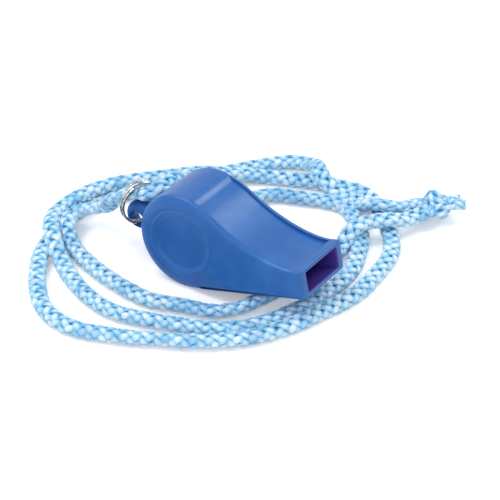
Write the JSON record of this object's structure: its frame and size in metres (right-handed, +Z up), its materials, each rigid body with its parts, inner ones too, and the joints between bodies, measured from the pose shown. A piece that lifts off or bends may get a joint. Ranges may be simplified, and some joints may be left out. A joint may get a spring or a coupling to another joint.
{
  "type": "training whistle",
  "caption": "Pea whistle in moulded plastic, lying upside down, with a split ring through its lug and a knotted braided neck cord wound around it.",
  "frame": {"origin": "on the table, at the centre of the footprint of the whistle and its split ring, without the cord", "axes": "+X horizontal towards the mouthpiece, +Y away from the near side cover, +Z up; the whistle lies belly up with its nose raised 12.8 degrees"},
  "size_m": [0.0959, 0.1114, 0.0274],
  "materials": {
    "blue_plastic": "moulded, soft gloss",
    "cork": "matte cork",
    "nickel": "nickel plated, polished",
    "blue_cord": "braided synthetic, slight sheen"
  },
  "bodies": {
    "whistle": {"whistle_body": "blue_plastic", "side_cover_far": "blue_plastic", "side_cover_near": "blue_plastic", "lanyard_leg_a": "blue_cord", "lanyard_leg_b": "blue_cord", "lanyard_knot": "blue_cord", "lanyard_tail_1": "blue_cord", "lanyard_tail_2": "blue_cord"},
    "pea": {"pea": "cork"},
    "ring": {"split_ring": "nickel"}
  },
  "joints": [
    {"name": "pea_orbit", "type": "hinge", "parent": "whistle", "child": "pea", "pos_m": [-0.00745, 0, 0.0137], "axis": [0, 1, 0], "continuous": true},
    {"name": "ring_swing", "type": "hinge", "parent": "whistle", "child": "ring", "pos_m": [-0.02743, 0, 0.01049], "axis": [0, 1, 0], "range_deg": [-10, 0]}
  ]
}
